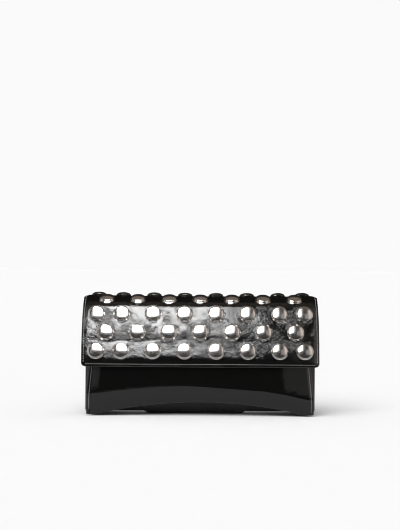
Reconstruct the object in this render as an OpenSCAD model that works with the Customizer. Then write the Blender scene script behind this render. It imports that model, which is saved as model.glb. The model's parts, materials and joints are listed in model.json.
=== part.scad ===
// Flap wallet in glazed leather with five rows of polished dome studs.
// Frame: X along the width, -Y out of the front, Z up, origin at the middle of the resting face.

/* [Size] */
// Width of the back panel and of the flap
wallet_w = 200; // [196:1:206]
// Width of the front panel at its top edge
front_top_w = 187; // [185:0.5:189]
// Width of the front panel at its bottom corners
front_bottom_w = 192; // [190:0.5:194]
// Height of the front panel's top edge
front_top_z = 80; // [78:0.5:81]
// Rise of the front panel's bottom edge at mid width
arch_rise = 10.7; // [8:0.1:12]

/* [Flap] */
// Depth of the flap's front edge in front of the middle, and its height
flap_edge = [-20.1, 41.1];
// Leather from the flap's front edge to the first row of studs
first_row = 14; // [12:0.5:15]
// Distance between rows, measured along the leather
row_pitch = 15.7; // [15.4:0.1:16]
// Radius of the flap's two lower corners
flap_corner_r = 3.5; // [2:0.5:5]

/* [Studs] */
// Distance between studs along a row
stud_pitch = 26.6; // [25:0.1:27]
// Distance from the last stud but one to the end stud of an eight-stud row
end_pitch = 21; // [19:0.5:22]
// Radius of a stud's dome
stud_r = 7.1; // [6.5:0.1:7.2]
// Height of a stud above the leather
stud_h = 3.5; // [3:0.1:4]
// Radius of a stud's shallow crown
crown_r = 16; // [12:0.5:20]
// Radius of the shoulder that turns down to a stud's rim
shoulder_r = 1.7; // [1.2:0.1:2]
// Depth of the pressed seat that a stud sits in
seat = 0.45; // [0.3:0.05:0.5]
// Radius of a stud's post
post_r = 1.5; // [1.2:0.1:1.6]

/* [Leather and boards] */
// Thickness of the outer leather
leather_t = 1.3; // [1.2:0.05:1.4]
// Thickness of the stiffening board
board_t = 0.6; // [0.4:0.1:0.7]
// Thickness of the lining
lining_t = 0.7; // [0.6:0.1:0.8]
// Thickness of a wall, from the outer face to the lining's inner face
wall_t = 3.5; // [3.4:0.05:3.6]

/* [Pockets] */
// Number of card slots in each column
slot_rows = 4; // [2:1:4]
// Step from one card slot's edge to the next one down
slot_step = 9; // [8:0.5:10]
// Width of one card slot
slot_w = 88.5; // [88:0.5:89]
// Thickness of a pocket sheet
sheet_t = 0.6; // [0.5:0.1:0.7]
// Room for a card behind each sheet
card_gap = 0.9; // [0.8:0.05:0.9]
// Length of the zip pocket
zip_pocket_w = 144; // [130:1:144]
// Depth of the zip pocket's middle plane
zip_y = 2.7; // [2.5:0.1:2.9]
// Height of the zip pocket's mouth
zip_z = 78; // [76:0.5:78]

/* [Hidden] */
$fn = 48;

hair = 0.05;
post_play = 0.05;
run_gap = 0.4;

// Lean of the leather at each row of studs: 0 points straight up, 180 straight down
row_lean = [8, 12, 29, 51, 111];
back_bend = 9.7;
flat_half = 3;
flap_len = first_row + 4 * row_pitch + flat_half + back_bend;
lean_table = concat([[0, 5]],
    [for (r = [0:4], side = [-1, 1]) [first_row + r * row_pitch + side * flat_half, row_lean[r]]],
    [[flap_len, 180]]);

function lean(s) = lookup(s, lean_table);
function walk(s) = s <= 0 ? flap_edge
    : let (ds = min(s, 1), a = lean(s - ds / 2)) walk(s - ds) + ds * [sin(a), cos(a)];
function flap_at(s, depth) = walk(s) + depth * [cos(lean(s)), -sin(lean(s))];

flap_end = walk(flap_len);
back_y = flap_end[0];
hinge_gap = 0.3;
back_top = flap_end[1] - hinge_gap;

// Lean of the front panel's outer face against height
front_foot = -19;
front_table = [[0, 4], [38, 4.5], [50, 7], [62, 9.5], [74, 16], [84, 23]];
front_len = front_top_z / cos(6.5);
function front_lean(s) = lookup(s, front_table);
function front_walk(s) = s <= 0 ? [front_foot, 0]
    : let (ds = min(s, 2), a = front_lean(s - ds / 2)) front_walk(s - ds) + ds * [sin(a), cos(a)];
function front_at(s, depth) = front_walk(s) + depth * [cos(front_lean(s)), -sin(front_lean(s))];

flap_steps = concat([0, 7], [for (r = [0:3], k = [-1:1]) first_row + r * row_pitch + k * flat_half],
    [for (r = [0:3], k = [1:3]) first_row + r * row_pitch + flat_half + k * (row_pitch - 2 * flat_half) / 4],
    [first_row + 4 * row_pitch - flat_half, first_row + 4 * row_pitch + flat_half],
    [for (k = [1:8]) flap_len - back_bend * (8 - k) / 8]);
function sorted(v) = len(v) <= 1 ? v
    : let (p = v[floor(len(v) / 2)])
      concat(sorted([for (x = v) if (x < p - 0.01) x]), [p], sorted([for (x = v) if (x > p + 0.01) x]));
flap_stops = sorted(flap_steps);
front_stops = [for (k = [0:12]) front_len * k / 12];

// A sheet of the flap's wall between two depths below the outer face
module flap_sheet(width, d0, d1, stops = flap_stops) {
    rotate([90, 0, 90])
        linear_extrude(width, center = true)
            polygon(concat([for (s = stops) flap_at(s, d0)],
                           [for (k = [len(stops) - 1:-1:0]) flap_at(stops[k], d1)]));
}

// A sheet of the front panel's wall between two depths below the outer face
module front_sheet(width, d0, d1, stops = front_stops) {
    rotate([90, 0, 90])
        linear_extrude(width, center = true)
            polygon(concat([for (s = stops) front_at(s, d0)],
                           [for (k = [len(stops) - 1:-1:0]) front_at(stops[k], d1)]));
}

// Studs

function row_s(r) = first_row + r * row_pitch;
function row_count(r) = r % 2 == 0 ? 8 : 7;
function stud_x(r, i) = row_count(r) == 7 ? (i - 3) * stud_pitch
    : i == 0 ? -(2.5 * stud_pitch + end_pitch)
    : i == 7 ? 2.5 * stud_pitch + end_pitch
    : (i - 3.5) * stud_pitch;

// Places children at each stud of a row, with local Z out of the leather
module at_studs(r) {
    p = walk(row_s(r));
    for (i = [0:row_count(r) - 1])
        translate([stud_x(r, i), p[0], p[1]])
            rotate([90 - row_lean[r], 0, 0])
                children();
}

function arc_points(c, r, a0, a1, n) =
    [for (k = [0:n]) let (a = a0 + (a1 - a0) * k / n) c + r * [cos(a), sin(a)]];

// A shallow crown that turns down to the rim over a rounded shoulder
module stud() {
    skirt = 0.35;
    cap_r = stud_r - 0.1;
    across = cap_r - shoulder_r;
    crown_z = stud_h - crown_r;
    shoulder_z = crown_z + sqrt(pow(crown_r - shoulder_r, 2) - across * across);
    tangent = atan2(shoulder_z - crown_z, across);
    translate([0, 0, -seat + 0.02])
        cylinder(r = stud_r, h = seat + skirt - 0.02);
    intersection() {
        translate([0, 0, crown_z])
            sphere(r = crown_r, $fn = 96);
        rotate_extrude($fn = 64)
            polygon(concat([[0, skirt], [cap_r, skirt]],
                           arc_points([across, shoulder_z], shoulder_r + 0.01, 0, tangent + 3, 7),
                           [[0, stud_h + 1]]));
    }
    translate([0, 0, -wall_t + lining_t + 0.15])
        cylinder(r = post_r, h = wall_t - lining_t);
}

module washer() {
    outer_z = -(leather_t + hair + board_t + 0.1);
    difference() {
        translate([0, 0, outer_z - 0.5])
            cylinder(r = 3, h = 0.5);
        translate([0, 0, -wall_t])
            cylinder(r = post_r + post_play, h = wall_t);
    }
}

module stud_row(r) {
    color("silver")
        at_studs(r)
            stud();
}

module washer_row(r) {
    color("gainsboro")
        at_studs(r)
            washer();
}

// Post holes and pressed seats of every stud
module stud_cuts(seats) {
    for (r = [0:4])
        at_studs(r) {
            translate([0, 0, -wall_t])
                cylinder(r = post_r + post_play, h = wall_t + 2);
            if (seats)
                translate([0, 0, -seat])
                    cylinder(r = stud_r + hair, h = 3);
        }
}

// Magnets

magnet_r = 6;
magnet_t = 1.1;
magnet_depth = leather_t + 0.25;
magnet_x = [-stud_pitch, stud_pitch];
magnet_s = 18;

module flap_magnet_places() {
    p = walk(magnet_s);
    for (x = magnet_x)
        translate([x, p[0], p[1]])
            rotate([90 - lean(magnet_s), 0, 0])
                children();
}

front_magnet_s = 59.3;
module front_magnet_places() {
    p = front_walk(front_magnet_s);
    for (x = magnet_x)
        translate([x, p[0], p[1]])
            rotate([90 - front_lean(front_magnet_s), 0, 0])
                children();
}

// Flap

module flap_outline() {
    w = wallet_w;
    z0 = flap_edge[1] - 0.6;
    rotate([90, 0, 0])
        linear_extrude(120, center = true) {
            translate([-w / 2, z0 + flap_corner_r])
                square([w, 90]);
            translate([-w / 2 + flap_corner_r, z0])
                square([w - 2 * flap_corner_r, 20]);
            for (side = [-1, 1])
                translate([side * (w / 2 - flap_corner_r), z0 + flap_corner_r])
                    circle(flap_corner_r);
        }
}

module flap_leather() {
    color("#161614")
        difference() {
            intersection() {
                flap_sheet(wallet_w, 0, leather_t);
                flap_outline();
            }
            stud_cuts(true);
        }
}

inset = 1.2;
inner_stops = concat([inset + 1], [for (s = flap_stops) if (s > 3) s]);

module flap_board() {
    d0 = leather_t + hair;
    color("tan")
        difference() {
            flap_sheet(wallet_w - 6, d0, d0 + board_t, concat([4], [for (s = flap_stops) if (s > 5) s]));
            stud_cuts(false);
            flap_magnet_places()
                translate([0, 0, -wall_t])
                    cylinder(r = magnet_r + 0.2, h = wall_t);
        }
}

module flap_lining() {
    color("#26221f")
        flap_sheet(wallet_w - 2 * inset, wall_t - lining_t, wall_t, inner_stops);
}

module flap_magnets() {
    color("dimgray")
        flap_magnet_places()
            translate([0, 0, -magnet_depth - magnet_t])
                cylinder(r = magnet_r, h = magnet_t);
}

// Outlines of the front and back panels, arched between two feet

foot_w = 6;

module arch_cut(half_bottom, shrink) {
    half_arch = half_bottom - foot_w;
    arch_r = (half_arch * half_arch + arch_rise * arch_rise) / (2 * arch_rise);
    translate([0, arch_rise - arch_r])
        circle(arch_r + shrink, $fn = 240);
}

// Back panel and base

module back_outline(shrink, top) {
    half = wallet_w / 2 - shrink;
    rotate([90, 0, 0])
        linear_extrude(120, center = true)
            difference() {
                translate([-half, shrink])
                    square([2 * half, top - shrink]);
                arch_cut(wallet_w / 2, shrink);
            }
}

module panel(width, y0, thick, z0, z1) {
    translate([-width / 2, y0, z0])
        cube([width, thick, z1 - z0]);
}

module back_leather() {
    color("#161614")
        intersection() {
            panel(wallet_w, back_y - leather_t, leather_t, 0, back_top);
            back_outline(0, back_top);
        }
}

module back_board() {
    color("tan")
        intersection() {
            panel(wallet_w, back_y - leather_t - hair - board_t, board_t, 0, back_top);
            back_outline(4, back_top - 3);
        }
}

module back_lining() {
    color("#26221f")
        intersection() {
            panel(wallet_w, back_y - wall_t, lining_t, 0, back_top);
            back_outline(inset, back_top - 1);
        }
}

// Base between the two arches: a belly stands on the floor at mid width, and wings rise beside it
base_front = -13.3;
base_back = back_y - wall_t - 0.1;
base_w = 184;
belly_w = 86;
wing_z = 5.5;
base_top = 11.5;
foot_y = [5, 12];
belly_x = -4.5;
belly_flat = 1.35;

// Section of the base with its underside at a height, shrunk by an inset
module base_section(foot, shrink) {
    front_w = foot_y[0] - base_front - shrink;
    front_h = base_top - shrink;
    r_back = base_back - foot_y[1];
    slope = [for (k = [0:8])
        [foot_y[0] - front_w * pow(cos(90 * k / 8), 2 / belly_flat),
         base_top + foot - front_h * pow(sin(90 * k / 8), 2 / belly_flat)]];
    polygon(concat(
        [[base_front + shrink, base_top + foot + 1]],
        slope,
        arc_points([foot_y[1], r_back + foot], r_back - shrink, 270, 360, 6),
        [[base_back - shrink, base_top + foot + 1]]));
}

module base_trough(foot, width) {
    rotate([90, 0, 90])
        linear_extrude(width, center = true)
            difference() {
                base_section(foot, 0);
                base_section(foot, leather_t);
                translate([-40, base_top])
                    square([80, 20]);
            }
}

module base_leather() {
    color("#161614") {
        translate([belly_x, 0, 0])
            base_trough(0, belly_w);
        difference() {
            base_trough(wing_z, base_w);
            translate([belly_x - belly_w / 2 + leather_t, -40, -1])
                cube([belly_w - 2 * leather_t, 80, base_top + 20]);
        }
        for (side = [-1, 1])
            translate([belly_x + side * (belly_w - leather_t) / 2, 0, 0])
                rotate([90, 0, 90])
                    linear_extrude(leather_t, center = true)
                        difference() {
                            base_section(0, 0);
                            base_section(wing_z, leather_t);
                            translate([-40, base_top])
                                square([80, 20]);
                        }
    }
}

module base_board() {
    color("tan")
        translate([belly_x - belly_w / 2 + 3, foot_y[0], leather_t + hair])
            cube([belly_w - 6, foot_y[1] - foot_y[0], 1]);
}

// Front panel

module front_outline(shrink) {
    half_b = front_bottom_w / 2 - shrink;
    half_t = front_top_w / 2 - shrink;
    rotate([90, 0, 0])
        linear_extrude(120, center = true)
            difference() {
                polygon([[-half_b, shrink], [half_b, shrink], [half_b - 0.3, 18],
                         [half_t, 40], [half_t, front_top_z + 5 - shrink],
                         [-half_t, front_top_z + 5 - shrink], [-half_t, 40], [-half_b + 0.3, 18]]);
                arch_cut(front_bottom_w / 2, shrink);
            }
}

module front_leather() {
    color("#161614")
        intersection() {
            front_sheet(front_bottom_w + 2, 0, leather_t);
            front_outline(0);
        }
}

module front_board() {
    d0 = leather_t + hair;
    color("tan")
        difference() {
            intersection() {
                front_sheet(front_bottom_w, d0, d0 + board_t, [for (s = front_stops) if (s < front_len - 2) s]);
                front_outline(4);
            }
            front_magnet_places()
                translate([0, 0, -wall_t])
                    cylinder(r = magnet_r + 0.2, h = wall_t);
        }
}

module front_lining() {
    color("#26221f")
        intersection() {
            front_sheet(front_bottom_w, wall_t - lining_t, wall_t);
            front_outline(1.2);
        }
}

module front_magnets() {
    color("dimgray")
        front_magnet_places()
            translate([0, 0, -magnet_depth - magnet_t])
                cylinder(r = magnet_r, h = magnet_t);
}

module slip_pocket() {
    d0 = wall_t + card_gap;
    color("#26221f")
        front_sheet(176, d0, d0 + sheet_t, [for (k = [0:6]) 17 + 42 * k / 6]);
}

// Gussets, folded inwards

gusset_t = 0.8;
gusset_top = 78;
fold_x = 86.8;
fold_y = [-0.9, 8.6];

module gusset(side) {
    back_end = [96.5, back_y - wall_t - 0.1];
    front_end = [93.2, -15.4];
    color("#1b1a18")
        difference() {
            translate([0, 0, 3])
                linear_extrude(gusset_top - 3)
                    polygon([for (p = [back_end, [fold_x, fold_y[1]], [fold_x, fold_y[0]], front_end,
                                       front_end + [-1, 0], [fold_x - gusset_t, fold_y[0] - 0.2],
                                       [fold_x - gusset_t, fold_y[1] + 0.2], back_end + [-1.2, 0]])
                             [side * p[0], p[1]]]);
            front_sheet(260, -40, wall_t + run_gap);
            translate([side * (fold_x - 0.4), ring_y, rivet_z])
                rotate([0, 90, 0])
                    cylinder(r = 1.3, h = 4, center = true);
            translate([-120, -40, -1])
                cube([240, 80, base_top + 1.2]);
        }
}

// Card slots

slot_top = 80;
slot_foot = 18;

module card_slot(side, k) {
    y1 = back_y - wall_t - (k - 1) * (card_gap + sheet_t) - card_gap;
    top = slot_top - (k - 1) * slot_step;
    foot = slot_foot;
    color("#2b2723")
        difference() {
            translate([side * (slot_w / 2 + 0.6) - slot_w / 2, y1 - sheet_t, foot])
                cube([slot_w, sheet_t, top - foot]);
            translate([side * (slot_w / 2 + 0.6), y1, top + 7])
                rotate([90, 0, 0])
                    cylinder(r = 11, h = 10, center = true);
        }
}

// Zip pocket

zip_gap = 4.8;
pocket_foot = 16;

module zip_pocket_front() {
    y0 = zip_y - zip_gap / 2 - sheet_t;
    color("#26221f")
        difference() {
            translate([-zip_pocket_w / 2, y0, pocket_foot])
                cube([zip_pocket_w, zip_gap + sheet_t, zip_z - pocket_foot]);
            translate([-zip_pocket_w / 2 + sheet_t, y0 + sheet_t, pocket_foot + sheet_t])
                cube([zip_pocket_w - 2 * sheet_t, zip_gap + 1, zip_z]);
        }
}

module zip_pocket_back() {
    color("#26221f")
        panel(zip_pocket_w, zip_y + zip_gap / 2 + 0.02, sheet_t, pocket_foot, zip_z);
}

tooth = [1.2, 1.3, 1.6];
tooth_pitch = 2.4;
zip_channel = 1.6;
tape_t = 0.6;
zip_len = zip_pocket_w - 8;

module zip_tape(side) {
    outer = zip_gap / 2 + sheet_t;
    inner = zip_channel / 2 + tooth[1];
    color("#1c1c1e")
        translate([-zip_pocket_w / 2, zip_y + (side > 0 ? inner : -outer), zip_z + 0.02])
            cube([zip_pocket_w, outer - inner, tape_t]);
}

module zip_teeth(side) {
    count = floor(zip_len / tooth_pitch);
    y = side > 0 ? zip_channel / 2 : -zip_channel / 2 - tooth[1];
    color("silver")
        for (i = [0:count - 1])
            translate([(i - (count - 1) / 2) * tooth_pitch - tooth[0] / 2, zip_y + y,
                       zip_z + tape_t / 2 - tooth[2] / 2])
                cube(tooth);
}

module zip_stops() {
    reach = zip_channel / 2 + tooth[1];
    color("silver")
        for (side = [-1, 1])
            translate([side * (zip_len / 2 + 1.9) - 0.8, zip_y - reach, zip_z - 0.4])
                cube([1.6, 2 * reach, 1.4]);
}

slider_x = 58;
slider_len = 8.4;
pivot_z = zip_z + 3.7;

module zip_slider() {
    color("silver")
        translate([slider_x, zip_y, zip_z]) {
            translate([-slider_len / 2, -2.6, 1.35])
                cube([slider_len, 5.2, 0.8]);
            translate([-slider_len / 2, -2.1, -1.55])
                cube([slider_len, 4.2, 0.8]);
            translate([0, 0, -1])
                cylinder(r = 0.55, h = 2.6);
            for (side = [-1, 1])
                translate([-1.3, side * 1.9 - 0.4, 2])
                    cube([2.6, 0.8, 2.6]);
            translate([0, 0, pivot_z - zip_z])
                rotate([90, 0, 0])
                    cylinder(r = 0.6, h = 3.8, center = true);
        }
}

module zip_puller() {
    eye_r = 1.25;
    color("silver")
        difference() {
            translate([slider_x, zip_y, pivot_z])
                rotate([90, 0, 0]) {
                    cylinder(r = eye_r, h = 2.4, center = true);
                    translate([-3, -0.55, -1.2])
                        cube([3, 1.1, 2.4]);
                    translate([-3, -0.55, 0])
                        rotate([-90, 0, 0])
                            linear_extrude(1.1)
                                difference() {
                                    union() {
                                        translate([-4.6, 0])
                                            circle(2.6);
                                        translate([-4.6, -1.6])
                                            square([4.7, 3.2]);
                                    }
                                    translate([-4.8, 0])
                                        circle(1.3);
                                }
                }
            translate([slider_x, zip_y, pivot_z])
                rotate([90, 0, 0])
                    cylinder(r = 0.66, h = 8, center = true);
        }
}

// Chain rings on leather tabs at the tops of the gussets

ring_x = 84;
ring_y = fold_y[0] / 2 + fold_y[1] / 2;
ring_z = 80;
ring_half = 5.5;
wire_r = 0.9;
rivet_z = 64;

module ring(side) {
    leg = 3.5;
    color("silver")
        translate([side * ring_x, ring_y, ring_z]) {
            rotate([90, 0, 0])
                cylinder(r = wire_r, h = 2 * ring_half, center = true);
            for (s = [-1, 1]) {
                translate([0, s * ring_half, 0])
                    sphere(r = wire_r);
                translate([0, s * ring_half, -leg])
                    cylinder(r = wire_r, h = leg);
            }
            translate([0, 0, -leg])
                rotate([90, 0, 90])
                    rotate([0, 0, 180])
                        rotate_extrude(angle = 180, $fn = 64)
                            translate([ring_half, 0])
                                circle(wire_r, $fn = 24);
        }
}

module ring_tab(side) {
    eye_r = 2;
    tab_half = 4;
    skin = 1;
    color("#161614")
        difference() {
            union() {
                translate([side * ring_x, ring_y, ring_z])
                    rotate([90, 0, 0])
                        cylinder(r = eye_r, h = 2 * tab_half, center = true);
                translate([side > 0 ? ring_x + 1.2 : -ring_x - 1.9, ring_y - tab_half, rivet_z - 5])
                    cube([0.7, 2 * tab_half, ring_z - rivet_z + 5]);
            }
            translate([side * ring_x, ring_y, ring_z])
                rotate([90, 0, 0])
                    cylinder(r = wire_r + 0.08, h = 20, center = true);
            translate([side * ring_x, ring_y, rivet_z])
                rotate([0, 90, 0])
                    cylinder(r = 1.05, h = 8, center = true);
        }
}

module tab_rivets(side) {
    color("silver")
        translate([side * (ring_x + 1.2), ring_y, rivet_z])
            rotate([0, side * 90, 0]) {
                translate([0, 0, -0.72])
                    cylinder(r = 2.6, h = 0.7);
                translate([0, 0, -0.3])
                    cylinder(r = 1, h = 3.4);
                translate([0, 0, 1.7])
                    cylinder(r = 2.6, h = 0.6);
            }
}

flap_leather();
flap_board();
flap_lining();
flap_magnets();
stud_row(0);  // stud_row_1
stud_row(1);  // stud_row_2
stud_row(2);  // stud_row_3
stud_row(3);  // stud_row_4
stud_row(4);  // stud_row_5
washer_row(0);  // washer_row_1
washer_row(1);  // washer_row_2
washer_row(2);  // washer_row_3
washer_row(3);  // washer_row_4
washer_row(4);  // washer_row_5
back_leather();
back_board();
back_lining();
base_leather();
base_board();
front_leather();
front_board();
front_lining();
front_magnets();
slip_pocket();
gusset(-1);  // gusset_left
gusset(1);  // gusset_right
card_slot(-1, 1);  // card_slot_left_1
card_slot(-1, 2);  // card_slot_left_2
card_slot(-1, 3);  // card_slot_left_3
card_slot(-1, 4);  // card_slot_left_4
card_slot(1, 1);  // card_slot_right_1
card_slot(1, 2);  // card_slot_right_2
card_slot(1, 3);  // card_slot_right_3
card_slot(1, 4);  // card_slot_right_4
zip_pocket_front();
zip_pocket_back();
zip_tape(-1);  // zip_tape_front
zip_tape(1);  // zip_tape_back
zip_teeth(-1);  // zip_teeth_front
zip_teeth(1);  // zip_teeth_back
zip_stops();
zip_slider();
zip_puller();
ring_tab(-1);  // ring_tab_left
ring_tab(1);  // ring_tab_right
tab_rivets(-1);  // tab_rivets_left
tab_rivets(1);  // tab_rivets_right
ring(-1);  // ring_left
ring(1);  // ring_right
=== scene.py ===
"""Looks of the studded flap wallet: glazed leather, polished studs, stitching, linings and fittings.

Every length is in metres, in the CAD frame: X along the width, -Y out of the front, Z up.
"""

import json
import math
import random

import bmesh
import bpy
import numpy as np
from mathutils import Matrix, Vector, noise

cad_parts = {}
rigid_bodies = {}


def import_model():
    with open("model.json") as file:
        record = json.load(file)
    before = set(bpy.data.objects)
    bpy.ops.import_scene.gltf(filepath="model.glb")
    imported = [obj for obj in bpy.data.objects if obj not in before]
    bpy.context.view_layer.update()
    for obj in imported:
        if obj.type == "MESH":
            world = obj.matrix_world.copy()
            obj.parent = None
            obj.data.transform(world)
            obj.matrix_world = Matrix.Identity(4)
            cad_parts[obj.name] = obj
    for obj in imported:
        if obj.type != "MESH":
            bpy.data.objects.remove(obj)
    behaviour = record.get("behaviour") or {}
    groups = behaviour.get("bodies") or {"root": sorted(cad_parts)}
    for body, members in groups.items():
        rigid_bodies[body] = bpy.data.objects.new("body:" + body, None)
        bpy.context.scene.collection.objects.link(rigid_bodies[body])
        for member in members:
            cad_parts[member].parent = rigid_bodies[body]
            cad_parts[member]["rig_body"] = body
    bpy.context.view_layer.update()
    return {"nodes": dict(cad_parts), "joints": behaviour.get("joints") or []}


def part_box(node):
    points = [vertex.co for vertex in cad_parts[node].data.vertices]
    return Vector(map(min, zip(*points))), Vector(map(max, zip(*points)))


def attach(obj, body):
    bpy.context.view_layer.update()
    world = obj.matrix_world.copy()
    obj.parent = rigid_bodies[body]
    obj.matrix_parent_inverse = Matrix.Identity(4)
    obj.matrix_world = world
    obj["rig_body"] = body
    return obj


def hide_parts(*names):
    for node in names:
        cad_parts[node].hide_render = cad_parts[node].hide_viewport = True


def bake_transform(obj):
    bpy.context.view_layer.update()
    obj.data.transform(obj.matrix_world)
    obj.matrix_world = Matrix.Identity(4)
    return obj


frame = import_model()
nodes = frame["nodes"]
joints = {j["name"]: j for j in frame["joints"]}
MM = 0.001

# Sizes shared with the CAD model

LEATHER = 1.3 * MM
WALL = 3.5 * MM
HALF_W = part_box("back_leather")[1].x
FIRST_ROW = 14 * MM
ROW_PITCH = 15.7 * MM
STUD_PITCH = 26.6 * MM
END_PITCH = 21 * MM
STUD_R = 7.1 * MM
STUD_H = 3.5 * MM
ROW_LEAN = (8, 12, 29, 51, 111)
FLAT_HALF = 3 * MM
BACK_BEND = 9.7 * MM
FLAP_LEN = FIRST_ROW + 4 * ROW_PITCH + FLAT_HALF + BACK_BEND
HINGE = Vector(joints["flap_hinge"]["pos_m"])
ARCH_RISE = 10.7 * MM
FOOT_W = 6 * MM
FRONT_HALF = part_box("front_leather")[1].x
FRONT_TOP_HALF = 93.5 * MM
FRONT_TOP_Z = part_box("front_leather")[1].z
FRONT_FOOT_Y = joints["front_fold"]["pos_m"][1]
BACK_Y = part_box("back_leather")[1].y


# Leather profiles

# The outer leather is flat under each row of studs, and bends between the rows
TIP_LEAN = 5.0
LEAN_S = [0.0]
LEAN_A = [TIP_LEAN]
for row, row_lean in enumerate(ROW_LEAN):
    for side in (-1, 1):
        LEAN_S.append(FIRST_ROW + row * ROW_PITCH + side * FLAT_HALF)
        LEAN_A.append(row_lean)
LEAN_S.append(FLAP_LEN)
LEAN_A.append(180.0)


def integrate(lengths, leans, start, n=900):
    """Points of a profile that leans by an angle at each length: 0 is straight up, 90 is straight back."""
    s = np.linspace(0, lengths[-1], n)
    a = np.radians(np.interp((s[1:] + s[:-1]) / 2, lengths, leans))
    ds = s[1] - s[0]
    y = start[0] + np.concatenate([[0], np.cumsum(np.sin(a) * ds)])
    z = start[1] + np.concatenate([[0], np.cumsum(np.cos(a) * ds)])
    return s, y, z


# The flap's outer face, walked from its front edge to the hinge, then straight down the back panel
SKIN_S, SKIN_Y, SKIN_Z = integrate(LEAN_S, LEAN_A, (0, 0))
SKIN_Y += HINGE.y - SKIN_Y[-1]
SKIN_Z += HINGE.z - SKIN_Z[-1]
SKIN_LEN = FLAP_LEN + HINGE.z


def skin_point(s):
    """Place (y, z) and lean in degrees of the outer leather at a length s from the flap's front edge."""
    s = np.asarray(s, float)
    over = np.maximum(s - FLAP_LEN, 0)
    inside = np.minimum(s, FLAP_LEN)
    lean = np.where(over > 0, 180.0, np.interp(inside, LEAN_S, LEAN_A))
    return np.interp(inside, SKIN_S, SKIN_Y), np.interp(inside, SKIN_S, SKIN_Z) - over, lean


# The front panel's outer face: its CAD lean, and how far the soft panel tucks in towards its foot
FRONT_LEAN_S = [0, 38, 50, 62, 74, 84]
FRONT_LEAN_A = [4, 4.5, 7, 9.5, 16, 23]
_, FRONT_Y, FRONT_Z = integrate([s * MM for s in FRONT_LEAN_S], FRONT_LEAN_A, (FRONT_FOOT_Y, 0))

# The soft front is straight above TUCK_TOP, turns at its knee and leans under below it
TUCK_TOP = 41 * MM
TUCK_KNEE = 26 * MM
PANEL_LEAN = 4.3
TUCK_Z = np.array([10.7, 11.1, 12.0, 14, 18, 23, 25.4, 27.4, 31, 41]) * MM
TUCK_A = np.array([-55, -38, -24, -17, -14.5, -12.5, -9.5, 1.0, 3.6, 4.6])


def tuck_profile():
    """How far the soft front lies behind the straight panel, at heights from its foot to TUCK_TOP."""
    z = np.linspace(TUCK_Z[0], TUCK_TOP, 500)
    mid = (z[1:] + z[:-1]) / 2
    slope = np.tan(np.radians(np.interp(mid, TUCK_Z, TUCK_A))) - np.tan(np.radians(PANEL_LEAN))
    y = np.concatenate([[0], np.cumsum(slope * (z[1] - z[0]))])
    return z, y - y[-1]


TUCK_ZZ, TUCK_YY = tuck_profile()


def cad_front_y(z):
    """The straight CAD panel's outer face."""
    return np.interp(z, FRONT_Z, FRONT_Y)


KNEE_X = np.array([-96, -80, -62, -40, -15, 17, 54, 72, 84, 96]) * MM
KNEE_Z = np.array([18.5, 21.9, 25, 26.2, 26.2, 24, 21.5, 18.5, 15.5, 13]) * MM


def knee_height(x):
    """Height at which the soft front starts to turn under: lower towards the right-hand corner."""
    return np.interp(x, KNEE_X, KNEE_Z)


def front_y(x, z, low):
    """The soft front's outer face at x and z, where low is the height of its bottom edge."""
    knee = knee_height(x)
    under = TUCK_Z[0] + (z - low) / (knee - low) * (TUCK_KNEE - TUCK_Z[0])
    over = TUCK_KNEE + (z - knee) / (TUCK_TOP - knee) * (TUCK_TOP - TUCK_KNEE)
    place = np.where(z < knee, under, np.where(z < TUCK_TOP, over, TUCK_TOP))
    return cad_front_y(z) + np.interp(place, TUCK_ZZ, TUCK_YY)


FOOT_LIFT = 0.25 * MM


def arch(x, half):
    """Height of a panel's bottom edge at x: an arc between two feet."""
    c = half - FOOT_W
    r = (c * c + ARCH_RISE * ARCH_RISE) / (2 * ARCH_RISE)
    return np.maximum(ARCH_RISE - r + np.sqrt(np.maximum(r * r - np.asarray(x) ** 2, 0)), FOOT_LIFT)


# Mesh helpers

def add_object(name, data):
    """A new object in the scene."""
    ob = bpy.data.objects.new(name, data)
    bpy.context.scene.collection.objects.link(ob)
    return ob


def new_mesh(name, verts, faces):
    """A smooth-shaded object with its faces turned outwards."""
    mesh = bpy.data.meshes.new(name)
    mesh.from_pydata([tuple(v) for v in verts], [], faces)
    mesh.update()
    ob = add_object(name, mesh)
    bm = bmesh.new()
    bm.from_mesh(mesh)
    bmesh.ops.recalc_face_normals(bm, faces=bm.faces)
    bm.to_mesh(mesh)
    bm.free()
    mesh.polygons.foreach_set("use_smooth", [True] * len(mesh.polygons))
    return ob


def grid_normals(p):
    """Unit normals of a grid of points."""
    du = np.gradient(p, axis=0)
    dv = np.gradient(p, axis=1)
    n = np.cross(du, dv)
    return n / np.maximum(np.linalg.norm(n, axis=2, keepdims=True), 1e-12)


def border(nu, nv):
    """Places on the edge of a grid, once round."""
    loop = [(i, 0) for i in range(nu - 1)] + [(nu - 1, j) for j in range(nv - 1)]
    return loop + [(i, nv - 1) for i in range(nu - 1, 0, -1)] + [(0, j) for j in range(nv - 1, 0, -1)]


def rim_ring(centre, normals, loop, radius, turn):
    """Points round a sheet's cut edge, at one turn of the half circle that rounds it."""
    nu, nv = centre.shape[:2]
    ring = []
    for i, j in loop:
        out = centre[i, j] - centre[min(max(i, 1), nu - 2), min(max(j, 1), nv - 2)]
        out = out / max(np.linalg.norm(out), 1e-12)
        ring.append(centre[i, j] + radius * (math.cos(turn) * normals[i, j] + math.sin(turn) * out))
    return np.array(ring)


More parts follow.
